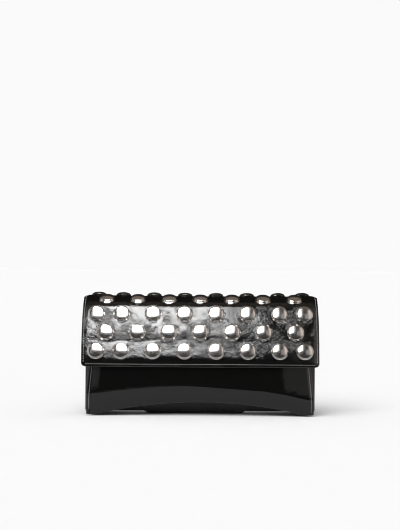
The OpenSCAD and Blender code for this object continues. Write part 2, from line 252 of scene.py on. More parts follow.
def shell(name, outer, thickness, flip=False, rings=3):
    """A closed sheet with rounded cut edges: outer is a grid of points, and the sheet lies behind it."""
    normals = grid_normals(outer) * (-1 if flip else 1)
    nu, nv = outer.shape[:2]
    inner = outer - normals * thickness
    count = nu * nv
    faces = []
    for i in range(nu - 1):
        for j in range(nv - 1):
            a, b, c, d = i * nv + j, (i + 1) * nv + j, (i + 1) * nv + j + 1, i * nv + j + 1
            faces.append((a, b, c, d))
            faces.append((count + a, count + d, count + c, count + b))
    loop = border(nu, nv)
    centre = (outer + inner) / 2
    turns = [math.pi * k / (rings + 1) for k in range(1, rings + 1)]
    rim = [rim_ring(centre, normals, loop, thickness / 2, turn) for turn in turns]
    ids = [[i * nv + j for i, j in loop]]
    ids += [[2 * count + k * len(loop) + m for m in range(len(loop))] for k in range(rings)]
    ids.append([count + i * nv + j for i, j in loop])
    for a, b in zip(ids[:-1], ids[1:]):
        for m in range(len(loop)):
            q = (m + 1) % len(loop)
            faces.append((a[m], b[m], b[q], a[q]))
    verts = np.concatenate([outer.reshape(-1, 3), inner.reshape(-1, 3)] + rim)
    return new_mesh(name, verts, faces)


def ease(t):
    """A smooth step from 0 to 1."""
    return t * t * (3 - 2 * t)


def softplus(t, width):
    """max(t, 0) with its corner rounded over a width."""
    return width * np.logaddexp(0, np.asarray(t) / width)


def margin_drop(edge, reach=4.2 * MM, slope=0.36):
    """How far a panel's skin drops to meet its lining at a distance from the sewn edge."""
    return slope * softplus(reach - np.maximum(edge, 0), 0.35 * MM)


def dents(x, s, seed, scale, height):
    """Slow hand-made unevenness of the leather."""
    out = np.zeros_like(x)
    for i in range(x.shape[0]):
        for j in range(x.shape[1]):
            p = Vector((x[i, j] / scale + seed, s[i, j] / scale, seed * 0.37))
            out[i, j] = noise.noise(p)
    return out * height


def stretches(ends, counts):
    """Places along a line, evenly spaced within each stretch between two ends."""
    parts = [np.linspace(*span, endpoint=False) for span in zip(ends[:-2], ends[1:], counts)]
    return np.concatenate(parts + [np.linspace(ends[-2], ends[-1], counts[-1])])


def spread(start, stop, n, edge, edge_n):
    """Places from start to stop, closer together near both ends."""
    return stretches((start, start + edge, stop - edge, stop), (edge_n, n, edge_n + 1))


# Studs

def row_count(row):
    """Studs in a row, counted from the flap's front edge."""
    return 8 if row % 2 == 0 else 7


def stud_x(row, i):
    """Place of a stud across its row; the end studs of a long row are set closer."""
    if row_count(row) == 7:
        return (i - 3) * STUD_PITCH
    if i in (0, row_count(row) - 1):
        return math.copysign(2.5 * STUD_PITCH + END_PITCH, i - 3.5)
    return (i - 3.5) * STUD_PITCH


def stud_axes(row):
    """Point on the leather, outward direction and upward direction of a row of studs."""
    y, z, lean = skin_point(FIRST_ROW + row * ROW_PITCH)
    a = math.radians(float(lean))
    return Vector((0, y, z)), Vector((0, -math.cos(a), math.sin(a))), Vector((0, math.sin(a), math.cos(a)))


def lathe(profile, steps=56):
    """Rings of (radius, height) turned about Z, closed at both ends by a point."""
    verts, faces = [], []
    for r, h in profile:
        for k in range(steps):
            t = 2 * math.pi * k / steps
            verts.append((r * math.cos(t), r * math.sin(t), h))
    for i in range(len(profile) - 1):
        for k in range(steps):
            q = (k + 1) % steps
            faces.append((i * steps + k, i * steps + q, (i + 1) * steps + q, (i + 1) * steps + k))
    faces.append(tuple(range(steps - 1, -1, -1)))
    faces.append(tuple((len(profile) - 1) * steps + k for k in range(steps)))
    return verts, faces


CROWN_R = 16 * MM
SHOULDER_R = 1.5 * MM
FLANGE = 0.72 * MM
LIP_R = 0.12 * MM
POST_R = 1.45 * MM
POST_FOOT = -2.6 * MM
UNDERSIDE = -0.4 * MM
# Degrees by which each row's studs tip down from the leather's own lean, as the photo's reflections show
ROW_NOD = (-3, 3, 15, -15, 0)
STUD_WOBBLE = 1.5
STUD_YAW = 1.6


def stud_foot(wall):
    """Post foot, post, hollow underside, and sloping rim with a rounded lip."""
    points = [(0.3 * MM, POST_FOOT), (POST_R, POST_FOOT), (POST_R, UNDERSIDE), (wall, UNDERSIDE)]
    for k in range(5):
        t = math.radians(-90 + 150 * k / 4)
        points.append((STUD_R - LIP_R + LIP_R * math.cos(t), 0.10 * MM + LIP_R * math.sin(t)))
    return points + [(wall + 0.13 * MM, 0.60 * MM), (wall + 0.05 * MM, 0.74 * MM)]


def stud_profile():
    """Half section of a stud: its foot and rim, a steep wall, a shoulder and a shallow crown."""
    wall = STUD_R - FLANGE
    points = stud_foot(wall)
    across = wall - SHOULDER_R
    crown_z = STUD_H - CROWN_R
    shoulder_z = crown_z + math.sqrt((CROWN_R - SHOULDER_R) ** 2 - across ** 2)
    tangent = math.atan2(shoulder_z - crown_z, across)
    for k in range(9):
        t = tangent * k / 8
        points.append((across + SHOULDER_R * math.cos(t), shoulder_z + SHOULDER_R * math.sin(t)))
    start = points[-1][0]
    for k in range(1, 15):
        r = max(start * (1 - k / 14), 0.02 * MM)
        points.append((r, crown_z + math.sqrt(CROWN_R ** 2 - r * r)))
    return points


def row_studs(row, verts, faces):
    """The points and faces of one row of studs, each a little crooked."""
    origin, out, up = stud_axes(row)
    turn = Matrix((Vector((1, 0, 0)), up, out)).transposed().to_4x4()
    row_verts, row_faces = [], []
    rng = random.Random(row)
    for i in range(row_count(row)):
        nod = math.radians(rng.uniform(-STUD_WOBBLE, STUD_WOBBLE) + ROW_NOD[row])
        yaw = math.radians(rng.uniform(-STUD_YAW, STUD_YAW))
        tilt = Matrix.Rotation(nod, 4, "X") @ Matrix.Rotation(yaw, 4, "Y")
        x = stud_x(row, i)
        sink = float(pull(np.array(x), np.array(FIRST_ROW + row * ROW_PITCH)))
        place = Matrix.Translation(origin + Vector((x, 0, 0)) - out * sink) @ turn @ tilt
        start = len(row_verts)
        row_verts += [place @ Vector(v) for v in verts]
        row_faces += [tuple(start + k for k in f) for f in faces]
    return row_verts, row_faces


def make_studs():
    """One piece for each row of studs."""
    verts, faces = lathe(stud_profile())
    made = []
    for row in range(len(ROW_LEAN)):
        ob = new_mesh(f"studs_{row + 1}", *row_studs(row, verts, faces))
        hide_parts(f"stud_row_{row + 1}")
        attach(ob, "flap")
        made.append(ob)
    return made


# Outer leather: the flap and the back panel, cut as one sheet

CORNER_R = 3.5 * MM


def skin_half_width(s):
    """Half width of the sheet at a length s, rounded at the flap's two lower corners."""
    s = np.asarray(s, float)
    cut = np.where(s < CORNER_R, CORNER_R - np.sqrt(np.maximum(CORNER_R ** 2 - (CORNER_R - s) ** 2, 0)), 0)
    return HALF_W - LEATHER / 2 - cut


def skin_end(x):
    """Length at which the sheet ends on the back panel, above its arched foot."""
    return SKIN_LEN - LEATHER / 2 - arch(x, HALF_W)


# Lengths in mm from the flap's front edge, and how many degrees the soft leather leans there beyond its
# CAD profile: puffed above each row of studs, drawn in below it
PUFF = ((0, 0), (5, -1), (7.5, -3), (9.5, 2), (11, 5), (20, 5), (22, 0), (24, -7), (27, -7), (29, 0),
        (31, 4.5), (34, 3), (37.5, -6.5), (41, -9), (45.4, -13), (48, -13.5), (50.5, -9), (52.5, 0),
        (54.5, 14), (57, 16), (60, 12), (64, 6), (68, 0), (74, 0))
PUFF_S = np.array([place for place, _ in PUFF]) * MM
PUFF_A = np.array([lean for _, lean in PUFF])


def puff_profile():
    """Inward drop of the soft leather along the sheet, measured from the first row of studs."""
    s = np.linspace(0, PUFF_S[-1], 600)
    lean = np.radians(np.interp((s[1:] + s[:-1]) / 2, PUFF_S, PUFF_A))
    drop = np.concatenate([[0], np.cumsum(np.tan(lean) * (s[1] - s[0]))])
    return s, drop - np.interp(FIRST_ROW, s, drop)


DROP_S, DROP = puff_profile()
FOLD_SAG = 0.75 * MM
SAG_S = 72 * MM
SAG_HALF = 96 * MM
PUFF_END = 76 * MM


def pull(x, s):
    """Inward sink of the leather between studs, a little uneven, and the sag of the fold."""
    uneven = 1 + 0.12 * np.sin(x / (13 * MM)) * np.sin(s / (9 * MM) + 1.3)
    fade = np.clip((PUFF_END - s) / (10 * MM), 0, 1) * (1 - np.minimum(np.abs(x) / HALF_W, 1) ** 16)
    top = np.exp(-((s - SAG_S) / (9 * MM)) ** 2) * (1 - np.minimum(np.abs(x) / SAG_HALF, 1) ** 4)
    return np.interp(s, DROP_S, DROP) * fade * uneven + FOLD_SAG * top


SEAT_R = 8.8 * MM
SEAT_EDGE = 1.6 * MM


def seat(x, s, drop):
    """The leather pressed flat under each stud's rim, at the stud's own nod."""
    for row, nod in enumerate(ROW_NOD):
        s_row = FIRST_ROW + row * ROW_PITCH
        slope = math.tan(math.radians(nod))
        for i in range(row_count(row)):
            x_stud = stud_x(row, i)
            share = ease(np.clip((SEAT_R - np.hypot(x - x_stud, s - s_row)) / SEAT_EDGE, 0, 1))
            flat = pull(np.array(x_stud), np.array(s_row)) - (s - s_row) * slope
            drop = drop * (1 - share) + flat * share
    return drop


def back_inset(s):
    """The soft back panel lies a little inside the CAD's."""
    return 0.25 * MM * np.clip((s - FLAP_LEN) / (8 * MM), 0, 1)


def skin_surface(u, v):
    """Points of the outer leather at u in -1..1 across and v in 0..1 along."""
    s_mid = v * SKIN_LEN
    x = u * skin_half_width(s_mid)
    s = LEATHER / 2 + v * (skin_end(x) - LEATHER / 2)
    y, z, lean = skin_point(s)
    a = np.radians(lean)
    side = margin_drop(skin_half_width(s) - np.abs(x))
    tip = margin_drop(s)
    foot = margin_drop(skin_end(x) - s)
    drop = np.maximum(np.maximum(side, tip), foot)
    drop = drop + dents(x, s, 3.1, 16 * MM, 0.14 * MM) + dents(x, s, 8.4, 6 * MM, 0.05 * MM) + pull(x, s)
    drop = seat(x, s, drop + back_inset(s))
    return np.stack([x, y + drop * np.cos(a), z - drop * np.sin(a)], axis=2)


def make_skin():
    """The flap and the back panel, as one sheet across the hinge."""
    u = spread(-1, 1, 110, 0.07, 14)
    ends = (0, 7 * MM, FLAP_LEN + 4 * MM, SKIN_LEN - 7 * MM, SKIN_LEN)
    v = stretches(ends, (16, 120, 36, 15)) / SKIN_LEN
    uu, vv = np.meshgrid(u, v, indexing="ij")
    ob = shell("outer_leather", skin_surface(uu, vv), LEATHER)
    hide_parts("flap_leather", "back_leather")
    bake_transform(ob)
    return ob


# Front panel and base

def front_half_width(z):
    """The front panel widens towards its foot."""
    return np.interp(z, [0, 18 * MM, 40 * MM, 90 * MM],
                     [FRONT_HALF, FRONT_HALF - 0.3 * MM, FRONT_TOP_HALF, FRONT_TOP_HALF]) - LEATHER / 2


ROLL_SLOPE = 0.11
ROLL_LEFT = 11.5 * MM
ROLL_RIGHT = 8.5 * MM
LEAN_SLOPE = 0.06
LEAN_RIGHT = 26 * MM


def side_roll(x, z, low):
    """How far the front's sides roll back; the right one also leans back over a wider stretch."""
    half = front_half_width(z)
    up = (z - low) / (12 * MM)
    reach = np.where(x < 0, ROLL_LEFT, ROLL_RIGHT)
    roll = ROLL_SLOPE * softplus(reach - (half - np.abs(x)), 1.3 * MM) * np.clip(up, 0.4, 1)
    return roll + LEAN_SLOPE * softplus(LEAN_RIGHT - (half - x), 2 * MM) * np.clip(up, 0.2, 1)


def front_surface(u, v, depth=0.0):
    """The soft front at u in -1..1 across and v in 0..1 up, or a layer at a depth behind its outer face."""
    x = u * front_half_width(v * FRONT_TOP_Z)
    low = arch(x, FRONT_HALF) + LEATHER / 2
    z = low + v * (FRONT_TOP_Z - LEATHER / 2 - low)
    side = front_half_width(z) - np.abs(x)
    top = margin_drop(FRONT_TOP_Z - z, reach=3 * MM, slope=0.25)
    drop = np.maximum(margin_drop(side, reach=3.2 * MM, slope=0.26), top) + side_roll(x, z, low)
    drop = drop + dents(x, z, 5.7, 45 * MM, 0.30 * MM) + dents(x, z, 1.9, 14 * MM, 0.03 * MM)
    points = np.stack([x, front_y(x, z, low) + drop, z], axis=2)
    if depth:
        points = points + grid_normals(points) * -depth
    return points


def front_grid(u_in, low, high):
    """Rows of u and v for a front layer, closer together near its edges and over its knee."""
    u = spread(-u_in, u_in, 90, 0.1, 14)
    foot, knee, rim = low + 0.10, 0.40, high - 0.05
    v = stretches((low, foot, knee, rim, high), (18, 50, 30, 8))
    return np.meshgrid(u, v, indexing="ij")


def make_front():
    """The front panel's leather."""
    ob = shell("front_panel", front_surface(*front_grid(1, 0, 1)), LEATHER)
    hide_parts("front_leather")
    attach(ob, "front")
    return ob


def make_front_board():
    """Stiffening board between the front leather and its lining, short of the seams."""
    ob = shell("front_board_sheet", front_surface(*front_grid(0.93, 0.13, 0.93), 1.36 * MM), 0.5 * MM)
    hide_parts("front_board")
    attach(ob, "front")
    return ob


def make_front_lining():
    """Lining that meets the leather's back at the seams and clears the board between them."""
    uu, vv = front_grid(0.985, 0.015, 0.985)
    edge = np.minimum(np.minimum((1 - np.abs(uu)) * FRONT_HALF, vv * FRONT_TOP_Z), (1 - vv) * FRONT_TOP_Z)
    points = front_surface(uu, vv, 1.34 * MM)
    clear = 0.62 * MM * ease(np.clip((edge - 1.5 * MM) / (3.5 * MM), 0, 1))
    points = points - grid_normals(points) * clear[:, :, None]
    ob = shell("front_lining_cloth", points, 0.6 * MM)
    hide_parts("front_lining")
    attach(ob, "front")
    return ob


BELLY_X = -4.5 * MM
BELLY_HALF = 43 * MM
BELLY_FOOT = (5 * MM, 12 * MM)
WING_SAG = 3.0 * MM


def base_surface(u, t):
    """Underside from the front panel's arched edge to the back's: a belly in the middle, wings beside it."""
    x = u * (FRONT_HALF - 4.0 * MM)
    low = arch(x, FRONT_HALF)
    y_front = front_y(x, low + 0.7 * MM, low) + 1.4 * MM
    y_back = BACK_Y - LEATHER - 0.5 * MM
    y = y_front + t * (y_back - y_front)
    edge = low + 1.3 * MM
    wing = edge - np.maximum(edge - WING_SAG, 0) * np.clip(np.sin(np.pi * t) * 1.35, 0, 1) ** 1.5
    fall = np.clip((BELLY_FOOT[0] - y) / (BELLY_FOOT[0] - y_front), 0, 1)
    rise = np.clip((y - BELLY_FOOT[1]) / (y_back - BELLY_FOOT[1]), 0, 1)
    belly = edge * (fall ** 1.25 * 0.92 + 0.08 * fall ** 6) + edge * rise ** 2 + 0.05 * MM
    end = 4.5 * MM * (1 - fall) + 1.5 * MM
    w = ease(np.clip((BELLY_HALF + 2 * MM - np.abs(x - BELLY_X)) / end, 0, 1))
    return np.stack([x, y, wing * (1 - w) + belly * w], axis=2)


def make_base():
    """The rounded underside, from the front panel's arched edge to the back's."""
    uu, tt = np.meshgrid(np.linspace(-1, 1, 260), np.linspace(0, 1, 60), indexing="ij")
    ob = shell("base_skin", base_surface(uu, tt), LEATHER, flip=True)
    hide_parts("base_leather")
    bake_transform(ob)
    return ob


# Gussets

GUSSET_FOOT = 2.5 * MM
GUSSET_X = 97.2 * MM
FOLD_X = 86.9 * MM
FOLD_FLARE = 4.5 * MM
GUSSET_GAP_LEFT = 1.2 * MM
GUSSET_GAP_RIGHT = 2.2 * MM
FOLD_U = (0, 0.34, 0.62, 1)
FOLD_IN = (0, 1, 1, 0)


def gusset_surface(side, u, v):
    """u runs from the back panel to the front panel, v from the foot to the top."""
    z = GUSSET_FOOT + v * (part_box("gusset_left")[1].z - GUSSET_FOOT)
    y_back = BACK_Y - WALL + 0.4 * MM
    y_front = cad_front_y(z) + WALL + (GUSSET_GAP_RIGHT if side > 0 else GUSSET_GAP_LEFT)
    y = y_back + u * (y_front - y_back)
    x_front = front_half_width(z) - 1.6 * MM
    fold_x = FOLD_X + FOLD_FLARE * np.clip(1 - z / (16 * MM), 0, 1) ** 2
    legs = np.interp(u, FOLD_U, FOLD_IN)
    for _ in range(2):
        legs = ease(legs) * 0.35 + legs * 0.65
    x_line = GUSSET_X + u * (x_front - GUSSET_X)
    x = x_line + (fold_x - x_line) * legs
    x = x + 0.3 * MM * np.sin(z / (11 * MM)) * legs
    return np.stack([side * x, y, z], axis=2)


def make_gussets():
    """Both folded gussets, between the back panel and the front panel."""
    made = []
    uu, vv = np.meshgrid(np.linspace(0, 1, 46), np.linspace(0, 1, 44), indexing="ij")
    for name, side in (("left", -1), ("right", 1)):
        ob = shell(f"gusset_skin_{name}", gusset_surface(side, uu, vv), 0.8 * MM, flip=side > 0)
        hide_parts(f"gusset_{name}")
        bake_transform(ob)
        made.append(ob)
    return made


# Stitching

STITCH_PITCH = 2.05 * MM
STITCH_LENGTH = 1.5 * MM
THREAD_R = 0.27 * MM
STITCH_RINGS = 5
THREAD_SIDES = 6


def stitch_places(points, normals, steps, centre):
    """Centre, normal and radius of each ring of one stitch, which dips into the leather at its ends."""
    places = []
    for m in range(STITCH_RINGS):
        s = centre + (m / (STITCH_RINGS - 1) - 0.5) * STITCH_LENGTH
        p = np.array([np.interp(s, steps, points[:, c]) for c in range(3)])
        n = np.array([np.interp(s, steps, normals[:, c]) for c in range(3)])
        n = n / np.linalg.norm(n)
        dip = (abs(m - 2) / 2) ** 2
        places.append((p + n * THREAD_R * (0.8 - 1.7 * dip), n, THREAD_R * (1 - 0.35 * dip)))
    return places


def ring_points(places):
    """Points round each ring of one stitch."""
    along = places[-1][0] - places[0][0]
    along = along / np.linalg.norm(along)
    verts = []
    for p, n, r in places:
        b = np.cross(along, n)
        for q in range(THREAD_SIDES):
            t = 2 * math.pi * q / THREAD_SIDES
            verts.append(tuple(p + r * (math.cos(t) * n + math.sin(t) * b)))
    return verts


def tube_faces(start):
    """Faces between a stitch's rings, and over its two ends."""
    faces = []
    for m in range(STITCH_RINGS - 1):
        a, b = start + m * THREAD_SIDES, start + (m + 1) * THREAD_SIDES
        for q in range(THREAD_SIDES):
            w = (q + 1) % THREAD_SIDES
            faces.append((a + q, a + w, b + w, b + q))
    last = start + (STITCH_RINGS - 1) * THREAD_SIDES
    faces.append(tuple(start + q for q in range(THREAD_SIDES - 1, -1, -1)))
    faces.append(tuple(last + q for q in range(THREAD_SIDES)))
    return faces


def stitch_run(points, normals):
    """Short waxed threads along a line of points."""
    steps = np.concatenate([[0], np.cumsum(np.linalg.norm(np.diff(points, axis=0), axis=1))])
    verts, faces = [], []
    count = int(steps[-1] / STITCH_PITCH)
    for k in range(count):
        faces += tube_faces(len(verts))
        verts += ring_points(stitch_places(points, normals, steps, (k + 0.5) * steps[-1] / count))
    return verts, faces


def join_runs(name, body, runs):
    """Several runs of stitches as one piece that moves with a body."""
    verts, faces = [], []
    for v, f in runs:
        start = len(verts)
        verts += v
        faces += [tuple(start + k for k in q) for q in f]
    ob = new_mesh(name, verts, faces)
    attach(ob, body)
    return ob


STITCH_IN = 2.2 * MM


def skin_line(x, s):
    """Points and outward normals on the outer leather along a line given by x and s."""
    y, z, lean = skin_point(s)
    a = np.radians(lean)
    edge = np.minimum(np.minimum(skin_half_width(s) - np.abs(x), s), skin_end(x) - s)
    drop = margin_drop(edge) + back_inset(s) + pull(x, s)
    points = np.stack([x, y + drop * np.cos(a), z - drop * np.sin(a)], axis=1)
    sideways = 0.33 * np.sign(x) * (np.abs(x) > HALF_W - 4 * MM)
    normals = np.stack([sideways, -np.cos(a), np.sin(a)], axis=1)
    return points, normals


def skin_sides(s):
    """Runs of stitches down both sides of the outer leather."""
    half = HALF_W - STITCH_IN
    return [stitch_run(*skin_line(np.full(s.shape, side * half), s)) for side in (-1, 1)]


def skin_edge():
    """Places across the outer leather for a run of stitches along its end."""
    half = HALF_W - STITCH_IN
    return np.linspace(-half + 1.5 * MM, half - 1.5 * MM, 120)


def flap_stitches():
    """Stitches round the flap's sides and lower edge."""
    x = skin_edge()
    runs = skin_sides(np.linspace(STITCH_IN + 2 * MM, FLAP_LEN - 1.5 * MM, 160))
    runs.append(stitch_run(*skin_line(x, np.full(x.shape, STITCH_IN + 0.6 * MM))))
    return join_runs("flap_stitches", "flap", runs)


def back_stitches():
    """Stitches down the back panel's sides and along its arched foot."""
    x = skin_edge()
    runs = skin_sides(np.linspace(FLAP_LEN + 1.5 * MM, SKIN_LEN - 5 * MM, 80))
    runs.append(stitch_run(*skin_line(x, skin_end(x) - STITCH_IN)))
    return join_runs("back_stitches", "body", runs)


def front_stitches():
    """Stitches up the front panel's sides and along its mouth."""
    runs = []
    for side in (-1, 1):
        v = np.linspace(0.03, 0.985, 90)[None, :]
        u = np.full(v.shape, side * (1 - 1.9 * MM / FRONT_TOP_HALF))
        points = front_surface(np.repeat(u, 2, axis=0), np.repeat(v, 2, axis=0))[0]
        runs.append(stitch_run(points, np.tile([0.3 * side, -1.0, 0.1], (points.shape[0], 1))))
    u = np.linspace(-0.97, 0.97, 120)[:, None]
    v = np.full(u.shape, 1 - 1.8 * MM / FRONT_TOP_Z)
    points = front_surface(np.repeat(u, 2, axis=1), np.repeat(v, 2, axis=1))[:, 0]
    runs.append(stitch_run(points, np.tile([0, -0.94, 0.34], (points.shape[0], 1))))
    return join_runs("front_stitches", "front", runs)


# Soft inner sheets, made from the CAD solids' own outlines

def tuck(x, z):
    """How far the soft front lies behind the straight CAD panel."""
    low = float(arch(x, FRONT_HALF)) + LEATHER / 2
    return float(front_y(x, max(z, low), low) - cad_front_y(max(z, low)))


def cut_across(bm, low, high, cell):
    """Even cuts through a mesh along all three axes, so that it can ripple."""
    for axis in range(3):
        size = high[axis] - low[axis]
        cuts = int(size / cell)
        normal = Vector((0, 0, 0))
        normal[axis] = 1
        for k in range(1, cuts):
            at = low.copy()
            at[axis] = low[axis] + size * k / cuts
            parts = bm.verts[:] + bm.edges[:] + bm.faces[:]
            bmesh.ops.bisect_plane(bm, geom=parts, plane_co=at, plane_no=normal)


def soften(bm, bevel):
    """The CAD triangles merged into flat faces, and their sharp edges rounded."""
    bmesh.ops.remove_doubles(bm, verts=bm.verts, dist=1e-6)
    bmesh.ops.dissolve_limit(bm, angle_limit=math.radians(2), verts=bm.verts, edges=bm.edges)
    sharp = [e for e in bm.edges if len(e.link_faces) == 2 and e.calc_face_angle(0) > math.radians(40)]
    bmesh.ops.bevel(bm, geom=sharp, offset=bevel, segments=2, profile=0.6, affect="EDGES")


def soft_copy(node, name, bevel=0.16 * MM, cell=3.0 * MM, ripple=0.10 * MM, seed=1.0, follow_front=False):
    """A sheet in the place of a CAD node, with softened edges and a slight ripple."""
    source = nodes[node]
    mesh = source.data.copy()
    mesh.name = name
    ob = add_object(name, mesh)
    ob.matrix_world = source.matrix_world.copy()
    bm = bmesh.new()
    bm.from_mesh(mesh)
    soften(bm, bevel)
    cut_across(bm, *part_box(node), cell)
    for v in bm.verts:
        wave = noise.noise(Vector((v.co.x / 0.022 + seed, 0, v.co.z / 0.017))) * ripple
        v.co.y += wave + (tuck(v.co.x, v.co.z) if follow_front else 0)
    bmesh.ops.recalc_face_normals(bm, faces=bm.faces)
    bm.to_mesh(mesh)
    bm.free()
    mesh.materials.clear()
    mesh.polygons.foreach_set("use_smooth", [True] * len(mesh.polygons))
    mesh.set_sharp_from_angle(angle=math.radians(35))
    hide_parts(node)
    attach(ob, source["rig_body"])
    return ob


# Materials

class Tree:
    """Short-hand for building one procedural material."""

    def __init__(self, name):
        self.mat = bpy.data.materials.new(name)
        self.mat.use_nodes = True
        self.tree = self.mat.node_tree
        self.bsdf = self.tree.nodes["Principled BSDF"]
        self.coord = self.tree.nodes.new("ShaderNodeTexCoord").outputs["Object"]

    def feed(self, socket, value):
        """A socket linked to another one, or set to a plain value."""
        if isinstance(value, bpy.types.NodeSocket):
            self.tree.links.new(value, socket)
        else:
            socket.default_value = value

    def node(self, kind, inputs=None, **settings):
        """A shader node with its settings, and its inputs set or linked."""
        n = self.tree.nodes.new(kind)
        for key, value in settings.items():
            setattr(n, key, value)
        for key, value in (inputs or {}).items():
            self.feed(n.inputs[key], value)
        return n

    def scaled(self, x, y, z, turn=(0, 0, 0)):
        """Object coordinates turned, then multiplied, so that one unit is one cell."""
        turned = self.node("ShaderNodeMapping", {"Vector": self.coord, "Rotation": turn}).outputs["Vector"]
        return self.node("ShaderNodeMapping", {"Vector": turned, "Scale": (x, y, z)}).outputs["Vector"]

    def noise(self, vector, scale=1.0, detail=3.0, rough=0.55, warp=0.0):
        """Fractal noise from 0 to 1."""
        return self.node("ShaderNodeTexNoise", {"Vector": vector, "Scale": scale, "Detail": detail,
                                                "Roughness": rough, "Distortion": warp}).outputs["Fac"]

    def cells(self, scale, feature):
        """Distance from the middles or the edges of small cells."""
        return self.node("ShaderNodeTexVoronoi", {"Vector": self.coord, "Scale": scale},
                         feature=feature).outputs["Distance"]

    def bands(self, vector, scale, direction, **inputs):
        """Even waves along one direction."""
        return self.node("ShaderNodeTexWave", {"Vector": vector, "Scale": scale, **inputs},
                         wave_type="BANDS", bands_direction=direction).outputs["Fac"]

    def maths(self, op, a, b=0.0):
        """An operation on one or two values."""
        n = self.node("ShaderNodeMath", operation=op)
        for socket, value in zip(n.inputs, (a, b)):
            self.feed(socket, value)
        return n.outputs[0]

    def ramp(self, fac, low, high, a=0.0, b=1.0):
        """A value stretched from low..high to a..b."""
        return self.node("ShaderNodeMapRange", {"Value": fac, "From Min": low, "From Max": high,
                                                "To Min": a, "To Max": b}).outputs["Result"]

    def mix(self, fac, a, b):
        """A blend of two colours."""
        n = self.node("ShaderNodeMix", data_type="RGBA")
        for key, value in ((0, fac), (6, a), (7, b)):
            self.feed(n.inputs[key], value)
        return n.outputs[2]

    def bump(self, height, distance, strength=1.0, below=None):
        """A relief, laid over the one below it."""
        inputs = {"Height": height, "Distance": distance, "Strength": strength}
        if below is not None:
            inputs["Normal"] = below
        return self.node("ShaderNodeBump", inputs).outputs["Normal"]

    def set(self, **inputs):
        """Shader inputs by name, set or linked."""
        for key, value in inputs.items():
            self.feed(self.bsdf.inputs[key.replace("_", " ")], value)


def grey(v, tint=(1, 1, 1)):
    """A dark or light tint of grey, with its alpha."""
    return (v * tint[0], v * tint[1], v * tint[2], 1)


def crease_pattern(t):
    """Two families of slanting creases that part smooth clouds, the second one in patches."""
    falling = t.noise(t.scaled(190, 350, 620, (0, -0.80, 0)), detail=2.0, warp=0.4)
    rising = t.noise(t.scaled(190, 350, 600, (0, 0.70, 0)), detail=2.0, warp=0.4)
    fold_a = t.ramp(t.maths("ABSOLUTE", t.maths("SUBTRACT", falling, 0.5)), 0.0, 0.13)
    fold_b = t.ramp(t.maths("ABSOLUTE", t.maths("SUBTRACT", rising, 0.5)), 0.0, 0.10)
    patch = t.ramp(t.noise(t.scaled(70, 70, 90), detail=2.0), 0.42, 0.58)
    creases = t.maths("ADD", fold_a, t.maths("MULTIPLY", fold_b, patch))
    return t.maths("MULTIPLY", creases, t.ramp(patch, 0, 1, 0.15, 1.0))


def crinkled_share(t):
    """1 where the leather is crinkled; calm along the flap's front edge and over the fold."""
    place = t.node("ShaderNodeSeparateXYZ", {"Vector": t.coord}).outputs
    in_front = t.ramp(place["Y"], 0.014, 0.004)
    above_edge = t.ramp(place["Z"], 0.048, 0.053)
    below_fold = t.ramp(place["Z"], 0.094, 0.089)
    keep = t.maths("MULTIPLY", t.maths("MULTIPLY", above_edge, below_fold), in_front)
    keep = t.maths("ADD", keep, t.maths("SUBTRACT", 1.0, in_front))
    return t.ramp(keep, 0, 1, 0.12, 1.0)


def glazed_leather(name):
    """Black glazed leather: smooth clouds parted by slanting creases, with fine cracks all over."""
    t = Tree(name)
    cracks = t.ramp(t.cells(520.0, "DISTANCE_TO_EDGE"), 0.0, 0.14)
    share = crinkled_share(t)
    creases = t.maths("MULTIPLY", crease_pattern(t), share)
    fine = t.noise(t.scaled(460, 620, 900, (0, 0.6, 0)), detail=1.0, rough=0.5)
    fine = t.maths("MULTIPLY", fine, share)
    swell = t.noise(t.scaled(150, 150, 150), detail=2.0)
    normal = t.bump(swell, 0.6 * MM, 0.35)
    normal = t.bump(creases, 0.30 * MM, 0.9, below=normal)
    normal = t.bump(cracks, 0.02 * MM, 0.3, below=normal)
    normal = t.bump(fine, 0.20 * MM, 0.9, below=normal)
    wear = t.noise(t.scaled(420, 420, 420), detail=4.0)
    t.set(Base_Color=t.mix(wear, grey(0.0022), grey(0.0045, (1, 1, 0.93))),
          Roughness=t.ramp(wear, 0.3, 0.7, 0.04, 0.08), Normal=normal, IOR=1.5)
    return t.mat


def smooth_leather(name, level=0.003, rough=(0.05, 0.09), gloss=0.36):
    """The front panel's calmer glazed leather: a faint pebble and slow ripples."""
    t = Tree(name)
    pebble = t.cells(900.0, "SMOOTH_F1")
    ripple = t.noise(t.scaled(70, 70, 120), detail=2.0)
    fine = t.noise(t.scaled(1500, 1500, 1500), detail=3.0)
    normal = t.bump(ripple, 0.5 * MM, 0.25)
    normal = t.bump(pebble, 0.02 * MM, 0.45, below=normal)
    normal = t.bump(fine, 0.02 * MM, 0.3, below=normal)
    wear = t.noise(t.scaled(300, 300, 300), detail=4.0)
    t.set(Base_Color=t.mix(wear, grey(level * 0.7), grey(level * 1.3, (1, 1, 0.95))),
          Roughness=t.ramp(wear, 0.3, 0.7, *rough), Normal=normal, IOR=1.5, Specular_IOR_Level=gloss)
    return t.mat


def satin_leather(name, level, gloss=0.5):
    """Inner leather: satin with a small pebble grain."""
    t = Tree(name)
    pebble = t.cells(1100.0, "F1")
    fine = t.noise(t.scaled(2600, 2600, 2600), detail=3.0)
    normal = t.bump(pebble, 0.05 * MM, 0.7)
    normal = t.bump(fine, 0.03 * MM, 0.4, below=normal)
    wear = t.noise(t.scaled(150, 150, 150), detail=4.0)
    t.set(Base_Color=t.mix(wear, grey(level * 0.75, (1, 0.97, 0.94)), grey(level * 1.4, (1, 0.96, 0.92))),
          Roughness=t.ramp(wear, 0.3, 0.7, 0.38, 0.55), Normal=normal, Specular_IOR_Level=gloss)
    return t.mat


